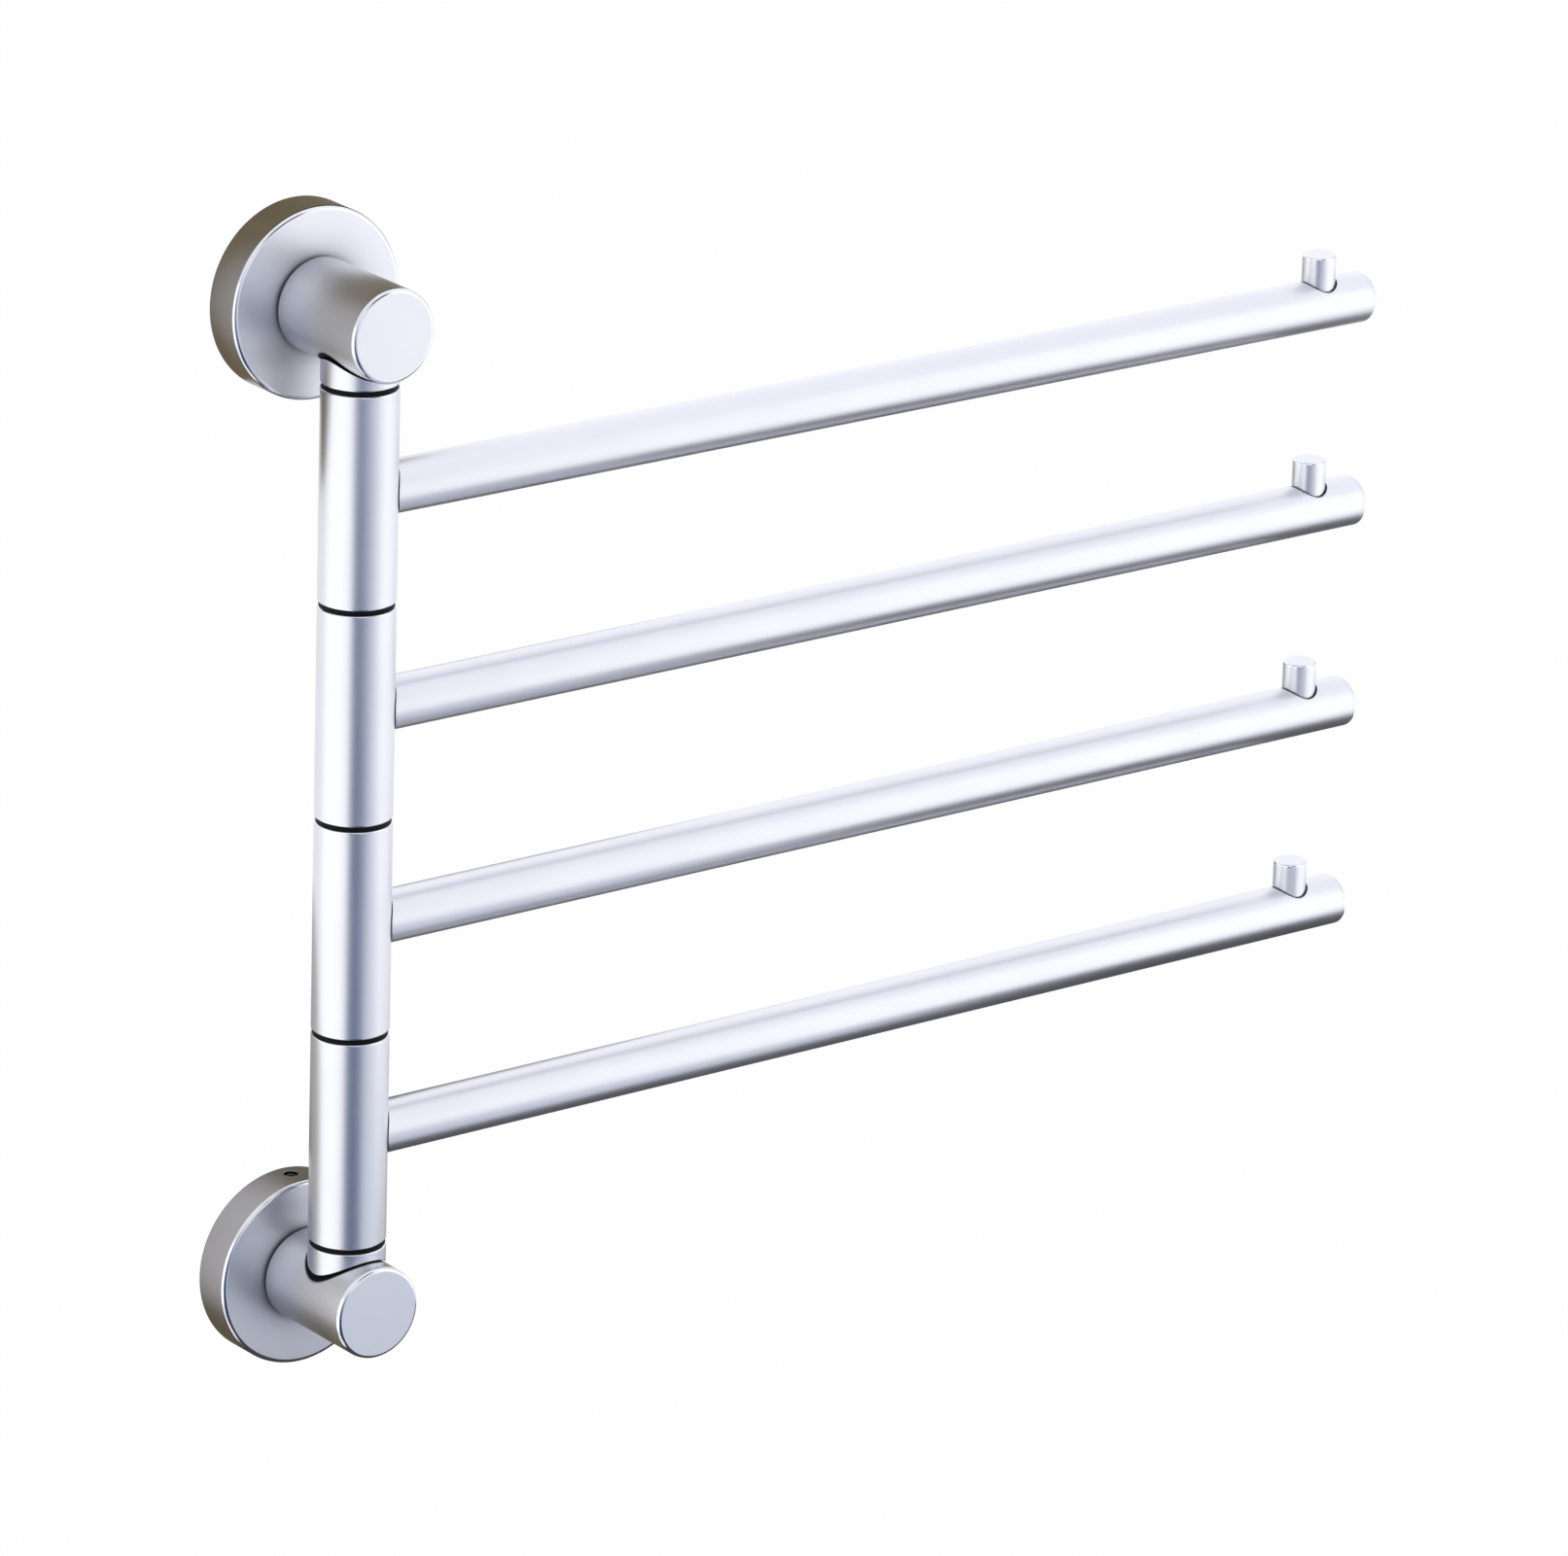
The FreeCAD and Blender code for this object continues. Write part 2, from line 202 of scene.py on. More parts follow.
def blendRings(border, circle, skin):     # rings part of the way from a border to a circle, on the skin
    for share in blendShares:
        ring = border * (1 - share) + circle * share
        if skin:
            ring[:, 1:] *= skin / np.linalg.norm(ring[:, 1:], axis=1, keepdims=True)
        yield ring


outward = np.array([[0, 1, 0], [-1, 0, 0], [0, 0, 1]], float)     # axis towards the room, up stays up
upright = np.array([[0, 0, 1], [0, -1, 0], [1, 0, 0]], float)     # axis up, the arm's side is "up"
sideways = np.eye(3)                                              # axis along the bars
turnedOver = np.diag([-1.0, 1.0, -1.0])


def makePiece(name, surface, axes, place, body, nodes, finish):
    # the surface set on its axes at its place, in metres, as one closed smooth mesh
    points, quads, polishAndShade = surface
    mesh = bpy.data.meshes.new(name)
    mesh.from_pydata(((points @ axes.T + place) * mm).tolist(), [], quads.tolist())
    # the finish attribute: above zero a smoother polished edge, below zero painted shade
    mesh.attributes.new("finish", "FLOAT", "POINT").data.foreach_set("value", polishAndShade.astype(np.float32))
    form = bmesh.new()
    form.from_mesh(mesh)
    bmesh.ops.remove_doubles(form, verts=form.verts, dist=0.001 * mm)
    bmesh.ops.recalc_face_normals(form, faces=form.faces)
    form.to_mesh(mesh)
    form.free()
    mesh.shade_smooth()
    mesh.materials.append(finishes[finish])
    piece = bpy.data.objects.new(name, mesh)
    bpy.context.scene.collection.objects.link(piece)
    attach(piece, body)
    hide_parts(*nodes)


# finishes
class Field:                              # one shader socket, so that shader maths reads as Python
    def __init__(self, paint, socket):
        self.paint, self.socket = paint, socket

    def maths(self, operation, *values):
        return self.paint.add("ShaderNodeMath", {"operation": operation}, dict(enumerate(values)))

    def __add__(self, other):
        return self.maths("ADD", self, other)

    def __radd__(self, other):
        return self.maths("ADD", other, self)

    def __sub__(self, other):
        return self.maths("SUBTRACT", self, other)

    def __rsub__(self, other):
        return self.maths("SUBTRACT", other, self)

    def __mul__(self, other):
        return self.maths("MULTIPLY", self, other)

    def __rmul__(self, other):
        return self.maths("MULTIPLY", other, self)


class Paint:                              # a node tree that is filled by one method
    def __init__(self, owner):
        owner.use_nodes = True
        self.owner, self.tree = owner, owner.node_tree
        self.tree.nodes.clear()

    def add(self, kind, settings, inputs, output=0):
        node = self.tree.nodes.new(kind)
        for name, value in settings.items():
            setattr(node, name, value)
        for name, value in inputs.items():
            if isinstance(value, Field):
                self.tree.links.new(value.socket, node.inputs[name])
            else:
                node.inputs[name].default_value = value
        return None if output is None else Field(self, node.outputs[output])

    def noise(self, scale, detail=2.0, stretch=(1, 1, 1)):
        # fractal noise on the piece's own coordinates, from 0 to 1, its cells 1 / scale metres wide
        place = self.add("ShaderNodeTexCoord", {}, {}, "Object")
        place = self.add("ShaderNodeMapping", {}, {"Vector": place, "Scale": stretch})
        return self.add("ShaderNodeTexNoise", {}, {"Vector": place, "Scale": scale, "Detail": detail})

    def mixColours(self, share, first, second):
        return self.add("ShaderNodeMix", {"data_type": "RGBA"}, {0: share, 6: first, 7: second}, 2)

    def relief(self, height, strength, depth):             # bump from a height between 0 and 1, depth in mm
        return self.add("ShaderNodeBump", {}, {"Strength": strength, "Distance": depth * mm,
                                               "Height": height})

    def close(self, shader, kind="ShaderNodeOutputMaterial"):
        self.add(kind, {}, {"Surface": shader}, None)


def shade(colour, dim):                   # a colour and one a little darker, as shader colours
    return (*colour, 1), (*[channel * dim for channel in colour], 1)


def satinAluminium():
    # blasted and anodised: fine grain, slow cloudiness, and bevels that were cut smoother afterwards;
    # painted shade darkens it where the finish attribute is below zero
    look = {"colour": (0.76, 0.773, 0.825), "cloud": 0.97, "cloudScale": 42, "cloudRough": 0.06,
            "roughness": 0.37, "edgeRoughness": 0.16, "grainScale": 2400, "grainRough": 0.08,
            "grainDepth": 0.012, "grainStrength": 0.5, "paintedShadeColour": (0.012, 0.014, 0.02, 1),
            "paintedShadeRough": 0.3}
    paint = Paint(bpy.data.materials.new("satinAluminium"))
    grain = paint.noise(look["grainScale"], 3)
    cloud = paint.noise(look["cloudScale"], 2)
    finish = paint.add("ShaderNodeAttribute", {"attribute_name": "finish"}, {}, "Fac")
    # painted shade: below zero the finish attribute mixes the base colour towards near black, in seams, gaps
    # and holes, and makes it rougher
    edge, paintedShade = finish.maths("MAXIMUM", finish, 0.0), finish.maths("MAXIMUM", finish * -1.0, 0.0)
    bright, dim = shade(look["colour"], look["cloud"])
    rough = look["roughness"] + (cloud - 0.5) * look["cloudRough"] + (grain - 0.5) * look["grainRough"]
    rough = rough - edge * (look["roughness"] - look["edgeRoughness"]) + paintedShade * look["paintedShadeRough"]
    relief = paint.relief(grain, look["grainStrength"], look["grainDepth"])
    paint.close(paint.add("ShaderNodeBsdfPrincipled", {}, {
        "Base Color": paint.mixColours(paintedShade, paint.mixColours(cloud, bright, dim), look["paintedShadeColour"]),
        "Metallic": 1.0, "Roughness": rough, "Normal": relief}))
    return paint.owner


def turnedMetal(name, colour, roughness, lineScale, stretch):
    # machined or drawn metal: fine tool lines, which are noise squeezed along one direction
    look = {"patchScale": 60, "patchDim": 0.82, "lineStrength": 0.6, "lineDepth": 0.01, "lineRough": 0.12}
    paint = Paint(bpy.data.materials.new(name))
    lines = paint.noise(lineScale, 2, stretch)
    patches = paint.noise(look["patchScale"], 3)
    bright, dim = shade(colour, look["patchDim"])
    paint.close(paint.add("ShaderNodeBsdfPrincipled", {}, {
        "Base Color": paint.mixColours(patches, bright, dim), "Metallic": 1.0,
        "Roughness": roughness + (lines - 0.5) * look["lineRough"],
        "Normal": paint.relief(lines, look["lineStrength"], look["lineDepth"])}))
    return paint.owner


def nylon(name, colour, roughness):
    # moulded nylon: a matt skin with a faint pebble grain and slightly uneven colour
    look = {"patchScale": 90, "patchDim": 0.8, "pebbleScale": 1500, "pebbleStrength": 0.5,
            "pebbleDepth": 0.015, "pebbleRough": 0.15, "specular": 0.08}
    paint = Paint(bpy.data.materials.new(name))
    pebble = paint.noise(look["pebbleScale"], 3)
    patches = paint.noise(look["patchScale"], 2)
    bright, dim = shade(colour, look["patchDim"])
    paint.close(paint.add("ShaderNodeBsdfPrincipled", {}, {
        "Base Color": paint.mixColours(patches, bright, dim), "Specular IOR Level": look["specular"],
        "Roughness": roughness + (pebble - 0.5) * look["pebbleRough"],
        "Normal": paint.relief(pebble, look["pebbleStrength"], look["pebbleDepth"])}))
    return paint.owner


finishes = {                              # material slot: finish, from colour, roughness and tool lines
    "satin_aluminium": satinAluminium(),
    "cast_alloy": turnedMetal("castAlloy", (0.58, 0.58, 0.59), 0.42, 900, (1, 1, 1)),
    "rod_steel": turnedMetal("rodSteel", (0.62, 0.62, 0.63), 0.22, 500, (1, 1, 8)),
    "screw_steel": turnedMetal("screwSteel", (0.45, 0.45, 0.46), 0.3, 700, (1, 6, 1)),
    "black_nylon": nylon("blackNylon", (0.006, 0.006, 0.008), 0.5),
    "natural_nylon": nylon("naturalNylon", (0.80, 0.78, 0.72), 0.45),
}
print("stage: finishes made,", len(finishes))


# wall fittings: bracket, cup, screws, post and collar
rodLow, rodHigh = measure("pivot_rod")
standoff = -(rodLow[1] + rodHigh[1]) / 2              # from the wall to the column's axis
rodRadius = (rodHigh[0] - rodLow[0]) / 2
cupLow, cupHigh = measure("lower_flange_cup")
cupRadius, cupDepth = (cupHigh[0] - cupLow[0]) / 2, -cupLow[1]
fittingHeight = -(cupLow[2] + cupHigh[2]) / 2         # of each fitting above or below the middle
postLow, postHigh = measure("lower_post")
postRadius, postReach = (postHigh[0] - postLow[0]) / 2, -postLow[1]
grubLow, grubHigh = measure("lower_grub_screw")
grubRadius, grubPlace = (grubHigh[0] - grubLow[0]) / 2, -(grubLow[1] + grubHigh[1]) / 2
bracketLow, bracketHigh = measure("lower_wall_bracket")
collarLow, collarHigh = measure("lower_saddle_collar")
columnRadius = (collarHigh[0] - collarLow[0]) / 2
alongHole = ((1, 0, 0), (0, 1, 0), (0, 0, 1))         # forward, across and upward of a hole in a round skin
softPaintedShade = -0.6                                      # finish of an edge with shade painted on it at part strength, half inside a seam


def holeInSkin(distance, blocks, halfColumns, circles):    # a hole across the axis, at a distance along it
    return {"axes": ((distance, 0, 0), *alongHole), "blocks": blocks, "columns": (-halfColumns, halfColumns),
            "circles": circles}


def flangeCup():
    # the section of a thin cup, open at the wall, turned round the post's axis, with a hole for the grub
    # screw through its rim, and shade painted on: in the hole, along the back edge at the wall, and on rows
    # of its face, darker towards the post's root
    look = {"wall": 2.5, "front": 2.5, "rimRound": 1.2, "backEdge": 0.3, "innerBevel": 1.5, "bore": 6.05,
            "edge": 0.12, "holeSlack": 0.05, "columns": 192, "blockHalf": 2.6, "blockCells": 8,
            "blockColumns": 4, "paintedShadeRadii": (24, 21, 18, 15.5, 13.9),
            "paintedShades": (0, -0.04, -0.11, -0.24, -0.45)}
    inner, floor, edge = cupRadius - look["wall"], cupDepth - look["front"], look["edge"]
    rows = roundOff([
        (inner, 0, edge, 0), (cupRadius, 0, look["backEdge"], softPaintedShade),
        (cupRadius, cupDepth, look["rimRound"], 1),
        (look["bore"], cupDepth, 0.05, 0), (look["bore"], floor, 0.1, 0),
        (inner - look["innerBevel"], floor, edge, 0), (inner, floor - look["innerBevel"], edge, 0)])
    cells = look["blockCells"]
    stretch = np.linspace(-look["blockHalf"], look["blockHalf"], cells + 1)
    innerRow, faceRow, outerRow = rowAt(6), rowAt(2), rowAt(1)
    rows = addRows(rows, innerRow, grubPlace - stretch)
    # painted shade: rows on the face, darker towards the post's root, as a contact shadow
    rows = addRows(rows, faceRow, look["paintedShadeRadii"], 0)
    shaded = faceRow + 1 + len(look["paintedShades"])
    rows[faceRow + 1:shaded, 4] = look["paintedShades"]
    rows = addRows(rows, outerRow, grubPlace + stretch)
    near = outerRow + 1
    far = innerRow + 1 + cells + 1 + len(look["paintedShades"])
    hole = grubRadius + look["holeSlack"]
    return turn(rows, look["columns"], holes=[holeInSkin(
        grubPlace, [(near, near + cells), (far, far + cells)], look["blockColumns"],
        # painted shade on the hole's wall, down to the cup's inside
        [(hole + 0.25, cupRadius, 0, 0), (hole + 0.1, cupRadius, 0, 0), (hole, cupRadius, -0.1, -1),
         (hole, cupRadius, -0.3, -1), (hole, inner, 0.2, -1), (hole, inner, 0, -1)])])


def wallBracket():
    # a ring's section with a groove in its edge, turned round the post's axis, with a countersunk hole
    # through it on each side
    look = {"bore": 10.5, "groove": 2.0, "grooveHalf": 2.2, "flare": 0.3, "edge": 0.5, "holeRadius": 2.5,
            "sinkRadius": 4.5, "holePlace": 16.5, "columns": 144, "blockHalf": 5.2, "blockCells": 8,
            "blockColumns": 8}
    radius, depth = (bracketHigh[0] - bracketLow[0]) / 2, -bracketLow[1]
    floor, half, flare = radius - look["groove"], look["grooveHalf"], look["flare"]
    rows = roundOff([
        (look["bore"], 0, 0.2, 0), (radius, 0, look["edge"], 0), (radius, grubPlace - half - flare, 0.1, 0),
        (floor, grubPlace - half, 0.1, 0), (floor, grubPlace + half, 0.1, 0),
        (radius, grubPlace + half + flare, 0.1, 0), (radius, depth, 0.1, 0), (look["bore"], depth, 0.2, 0)])
    cells = look["blockCells"]
    stretch = np.linspace(-look["blockHalf"], look["blockHalf"], cells + 1)
    frontRow, backRow = rowAt(6), rowAt(0)
    rows = addRows(rows, frontRow, look["holePlace"] - stretch, 0)
    rows = addRows(rows, backRow, look["holePlace"] + stretch, 0)
    near = backRow + 1
    far = frontRow + 1 + cells + 1
    quarter, wide = look["columns"] // 4, look["blockColumns"]
    circles = [(look["holeRadius"] + 0.25, 0, 0, 0), (look["holeRadius"], 0, 0.2, 0),
               (look["holeRadius"], 0, depth - look["sinkRadius"] + look["holeRadius"], 0),
               (look["sinkRadius"], 0, depth, 0)]
    holes = [{"axes": ((0, side * look["holePlace"], 0), (0, side, 0), (0, 0, 1), (1, 0, 0)),
              "blocks": [(near, near + cells), (far, far + cells)],
              "columns": (side * quarter - wide, side * quarter + wide), "circles": circles}
             for side in (-1, 1)]
    return turn(rows, look["columns"], holes=holes)


screwColumns = 96                         # columns round the screws and the washers under their heads


def socketScrew(radius, headRadius, headStart, headEnd, end, key, keyDepth, tip=0.6):
    # shank and head turned about the axis, with the key's hexagon sunk into the head
    half = key / 2
    return turn(roundOff([
        (0, headStart + keyDepth + half / 2, 0, 0), (half * 0.99, headStart + keyDepth, 0.05, 0),
        (half, headStart, 0.08, 0), (headRadius - tip, headStart, 0.2, 0),
        (headRadius, headStart + tip, 0.2, 0), (headRadius, headEnd, 0.15, 0), (radius, headEnd, 0.1, 0),
        (radius, end - tip, 0.2, 0), (radius - tip, end, 0.1, 0), (0, end, 0, 0)],
        closed=False, hexed=(1, 2)), screwColumns, closed=False)


def grubScrew():
    # a headless shank turned about its axis, with the key's hexagon sunk into its upper end
    look = {"acrossFlats": 2.0, "keyDepth": 1.8, "keyTip": 0.4, "tip": 0.6}
    start, end = grubLow[2] + fittingHeight, grubHigh[2] + fittingHeight
    half, tip, keyEnd = look["acrossFlats"] / 2, look["tip"], end - look["keyDepth"]
    return turn(roundOff([
        (0, start, 0, 0), (grubRadius - tip, start, 0.1, 0), (grubRadius, start + tip, 0.2, 0),
        (grubRadius, end - tip, 0.2, 0), (grubRadius - tip, end, 0.1, 0), (half, end, 0.05, 0),
        (half * 0.99, keyEnd, 0.05, 0), (0, keyEnd - look["keyTip"], 0, 0)],
        closed=False, hexed=(5, 6)), screwColumns, closed=False)


def post():
    # a tenon, a neck that leaves a groove and the post's skin turned round its axis, and a stepped socket
    # for the collar and the rod sunk across it, whose seam starts in rings on the skin; shade is painted
    # into the groove, the root edge and the socket, and as a contact shadow on a ring of the skin round the
    # collar
    look = {"endRound": 1.2, "rootEdge": 0.4, "rootGap": 0.4, "rootNeck": 0.8, "tenon": 6.0,
            "screwHole": 3.05, "screwDepth": 24.95, "socket": 7.1, "socketFloor": 4.0, "rodDepth": 6.0,
            "rodSlack": 0.05, "seamAndShadowRings": (0.9, 0.45, -0.15), "columns": 160, "blockHalf": 12.6,
            "blockCells": 28, "blockColumns": 28}
    tenonEnd, neck, shoulder = -postHigh[1], postRadius - look["rootNeck"], cupDepth + look["rootGap"]
    rows = roundOff([
        (0, look["screwDepth"], 0, 0), (look["screwHole"], look["screwDepth"], 0.1, 0),
        (look["screwHole"], tenonEnd, 0.1, 0), (look["tenon"], tenonEnd, 0.2, 0),
        (look["tenon"], cupDepth, 0.05, 0), (neck, cupDepth, 0.03, -1), (neck, shoulder, 0.05, -1),
        (postRadius, shoulder, look["rootEdge"], softPaintedShade), (postRadius, postReach, look["endRound"], 1),
        (0, postReach, 0, 0)], closed=False)
    cells, half = look["blockCells"], look["blockHalf"]
    skinRow = rowAt(7, closed=False)
    rows = addRows(rows, skinRow, standoff + np.linspace(-half, half, cells + 1))
    socket, rodHole, floor = look["socket"], rodRadius + look["rodSlack"], look["socketFloor"]
    clear, dark, seam = (columnRadius + ring for ring in look["seamAndShadowRings"])
    # painted shadow: inwards from the clear ring, the skin darkens round the collar's foot, and the socket
    # is painted dark
    circles = [(clear, postRadius, 0, 0), (dark, postRadius, 0, -1), (seam, postRadius, 0, -1),
               (socket + 0.1, postRadius, 0, -1), (socket, postRadius, -0.1, -1),
               (socket, 0, floor + 0.1, -1), (socket, 0, floor, -1), (rodHole, 0, floor, -1),
               (rodHole, 0, -look["rodDepth"], -1), (0, 0, -look["rodDepth"], -1)]
    return turn(rows, look["columns"], closed=False, holes=[holeInSkin(
        standoff, [(skinRow + 1, skinRow + 1 + cells)], look["blockColumns"], circles)])


def saddleCollar():
    # coped rows stand off the post by the seam, on a slightly wider round that opens the seam towards
    # the sides: drop = root(round² - up²) - round
    look = {"seam": 0.3, "spigot": 7.05, "topEdge": 0.3, "copeEdge": 0.12, "rodSlack": 0.05,
            "copeRound": 14.6, "columns": 160}
    top, foot = collarHigh[2] + fittingHeight, collarLow[2] + fittingHeight
    bore, seat = rodRadius + look["rodSlack"], postRadius + look["seam"]
    # painted shade on the coped face and its edge, next to the post
    rows = roundOff([
        (bore, top, 0.05, 0), (columnRadius, top, look["topEdge"], 1),
        (columnRadius, seat, look["copeEdge"], -1), (look["spigot"], seat, 0.05, -1),
        (look["spigot"], foot, 0.1, -1), (bore, foot, 0.1, 0)], coped=(2, 3))
    wide = look["copeRound"]
    return turn(rows, look["columns"], cope=lambda side, up: np.sqrt(wide**2 - up**2) - wide)


def washer(hole, radius, start, end, columns):             # a flat ring's section turned round its axis
    return turn(roundOff([(hole, start, 0.1, 0), (radius, start, 0.15, 0), (radius, end, 0.15, 0),
                          (hole, end, 0.1, 0)]), columns)


def clampWasher():                        # as wide and as thick as the CAD washer, on the post's axis
    look = {"hole": 3.2}
    low, high = measure("lower_clamp_washer")
    return washer(look["hole"], (high[0] - low[0]) / 2, -high[1], -low[1], screwColumns)


def postScrew():                          # between the ends of the CAD screw, its head at the wall's end
    look = {"acrossFlats": 4.0, "keyDepth": 1.8, "shank": 3.0, "head": 3.0}
    low, high = measure("lower_post_screw")
    start = -high[1]
    return socketScrew(look["shank"], (high[0] - low[0]) / 2, start, start + look["head"], -low[1],
                       look["acrossFlats"], look["keyDepth"])


column = np.array([0, -standoff, 0])
fitting = {                               # node: surface, its axes, its place, its finish
    "wall_bracket": (wallBracket(), outward, (0, 0, 0), "cast_alloy"),
    "flange_cup": (flangeCup(), outward, (0, 0, 0), "satin_aluminium"),
    "grub_screw": (grubScrew(), upright, (0, -grubPlace, 0), "screw_steel"),
    "post": (post(), outward, (0, 0, 0), "satin_aluminium"),
    "clamp_washer": (clampWasher(), outward, (0, 0, 0), "screw_steel"),
    "post_screw": (postScrew(), outward, (0, 0, 0), "screw_steel"),
    "saddle_collar": (saddleCollar(), upright, column, "satin_aluminium"),
}
for side, turnOver, height in (("lower", np.eye(3), -fittingHeight), ("upper", turnedOver, fittingHeight)):
    for node, (surface, axes, place, finish) in fitting.items():
        makePiece(side + "_" + node + "_look", surface, turnOver @ axes,
                  turnOver @ np.array(place, float) + (0, 0, height), "rack", [side + "_" + node], finish)
print("stage: wall fittings made")


# column: washers and sleeves
def columnWasher(node):                   # from just clear of the rod out to the CAD ring's edge
    look = {"boreSlack": 0.2, "columns": 128}
    low, high = measure(node)
    return washer(rodRadius + look["boreSlack"], (high[0] - low[0]) / 2, low[2], high[2], look["columns"])


def sleeve(node):
    # a tube's section turned round the column's axis, with a screw hole through its wall, whose seat for
    # the screw's head is cut flat on the inside
    look = {"wall": 3.55, "end": 0.35, "screwHole": 2.7, "headSeat": 4.2, "columns": 160, "blockHalf": 7.0,
            "blockCells": 16, "blockColumns": 20}
    low, high = measure(node)
    inner, middle = columnRadius - look["wall"], (low[2] + high[2]) / 2
    rows = roundOff([(inner, high[2], 0.15, 0), (inner, low[2], 0.15, 0),
                     (columnRadius, low[2], look["end"], 1), (columnRadius, high[2], look["end"], 1)])
    rows[rowAt(2), 4] = rows[rowAt(2) + 1, 4] = 0     # the long outside between the edges is not polished
    cells = look["blockCells"]
    stretch = np.linspace(-look["blockHalf"], look["blockHalf"], cells + 1)
    innerRow, outerRow = rowAt(0), rowAt(2)
    rows = addRows(rows, outerRow, middle + stretch)
    rows = addRows(rows, innerRow, middle - stretch)
    far = innerRow + 1
    near = outerRow + 1 + cells + 1
    hole, seat = look["screwHole"], look["headSeat"]
    circles = [(hole + 0.1, columnRadius, 0, 0), (hole, columnRadius, -0.1, 0), (hole, 0, inner + 0.1, 0),
               (hole, 0, inner, 0), (seat, 0, inner, 0), (seat, inner, 0, 0)]
    return turn(rows, look["columns"], holes=[holeInSkin(
        middle, [(near, near + cells), (far, far + cells)], look["blockColumns"], circles)])


armNumbers = range(1, 1 + len([body for body in frame["bodies"] if body.startswith("arm_")]))
for number in range(1, len(armNumbers) + 2):
    node = "washer_%d" % number
    makePiece(node + "_look", columnWasher(node), upright, column, "rack", [node], "black_nylon")
for number in armNumbers:
    node = "sleeve_%d" % number
    makePiece(node + "_look", sleeve(node), upright, column, "arm_%d" % number, [node], "satin_aluminium")
print("stage: column made,", len(armNumbers), "sleeves")


# arms: bar, end cap and peg
barLow, barHigh = measure("bar_1")
barRadius, barEnd = (barHigh[2] - barLow[2]) / 2, barHigh[0]
pegLow, pegHigh = measure("peg_1")
pegRadius, pegPlace = (pegHigh[0] - pegLow[0]) / 2, (pegLow[0] + pegHigh[0]) / 2
barHeight = (barLow[2] + barHigh[2]) / 2
barWall, barSlack = 1.2, 0.05             # the tube's wall, and the room round what is in it
pegBlock = {"half": 8.0, "cells": 20, "columns": 24, "round": 128}       # grid block round the peg's hole
fineSteps = 6                             # steps in each rounding of the end cap and the peg


def pegHole(circles, rows, nearRow, farRow=None):
    # adds the block of rows round the peg's hole to one or two skins, and opens the hole there
    cells = pegBlock["cells"]
    stretch = np.linspace(-pegBlock["half"], pegBlock["half"], cells + 1)
    rows = addRows(rows, nearRow, pegPlace + stretch)
    blocks = [(nearRow + 1, nearRow + 1 + cells)]
    if farRow is not None:
        rows = addRows(rows, farRow, pegPlace - stretch)
        blocks = [(first + cells + 1, last + cells + 1) for first, last in blocks]
        blocks.append((farRow + 1, farRow + 1 + cells))
    return rows, holeInSkin(pegPlace, blocks, pegBlock["columns"], circles)


def bar():
    # a tube with a hole for the peg, and its root coped to the sleeve, with shade painted on the coped root,
    # in the hole and as a shadow ring round it: distance = root((sleeve + seam)² - side²)
    look = {"seam": 0.15, "rootEdge": 0.12, "endEdge": 0.06, "pegGap": 0.35, "gapAndShadowRings": (0.4, 0.1)}
    inner = barRadius - barWall
    rows = roundOff([(inner, barEnd, 0.1, 0), (inner, 0, 0.1, -1), (barRadius, 0, look["rootEdge"], -1),
                     (barRadius, barEnd, look["endEdge"], 0)], coped=(1, 2))
    hole = pegRadius + look["pegGap"]
    clear, dark = (hole + ring for ring in look["gapAndShadowRings"])
    circles = [(clear, barRadius, 0, 0), (dark, barRadius, 0, -1), (hole, barRadius, -0.08, -1),
               (hole, inner, 0.1, -1), (hole, inner, 0, -1)]
    rows, opening = pegHole(circles, rows, rowAt(2), rowAt(0))
    seat = columnRadius + look["seam"]
    return turn(rows, pegBlock["round"], cope=lambda side, up: np.sqrt(seat**2 - side**2), holes=[opening])


def endCap():
    # a tail inside the bar and a rounded end turned round the bar's axis, with the peg's seat in the tail,
    # shade painted dark in the seat
    look = {"round": 1.3, "shoulderEdge": 0.06, "tailEdge": 0.4, "seat": 4.3, "tail": 2.55, "foot": -3.75,
            "seatSlack": 0.05}
    low, high = measure("end_cap_1")
    plug = barRadius - barWall - barSlack
    rows = roundOff([(0, low[0], 0, 0), (plug, low[0], look["tailEdge"], 0), (plug, barEnd, 0.05, 0),
                     (barRadius, barEnd, look["shoulderEdge"], 0), (barRadius, high[0], look["round"], 1),
                     (0, high[0], 0, 0)], steps=fineSteps, closed=False)
    hole = pegRadius + look["seatSlack"]
    circles = [(hole, plug, 0, -1), (hole, 0, look["seat"], -1), (look["tail"], 0, look["seat"], -1),
               (look["tail"], 0, look["foot"], -1), (0, 0, look["foot"], -1)]
    rows, opening = pegHole(circles, rows, rowAt(1, fineSteps, closed=False))
    return turn(rows, pegBlock["round"], closed=False, holes=[opening])


def peg():
    # a tail, a shoulder on its seat and a rounded top turned round the upright axis
    look = {"topRound": 0.8, "tail": 2.5, "tailEdge": 0.3, "seat": 4.3, "seatEdge": 0.2}
    low, top = pegLow[2] - barHeight, pegHigh[2] - barHeight
    return turn(roundOff([
        (0, low, 0, 0), (look["tail"], low, look["tailEdge"], 0), (look["tail"], look["seat"], 0.05, 0),
        (pegRadius, look["seat"], look["seatEdge"], 0), (pegRadius, top, look["topRound"], 1),
        (0, top, 0, 0)], steps=fineSteps, closed=False), pegBlock["round"], closed=False)


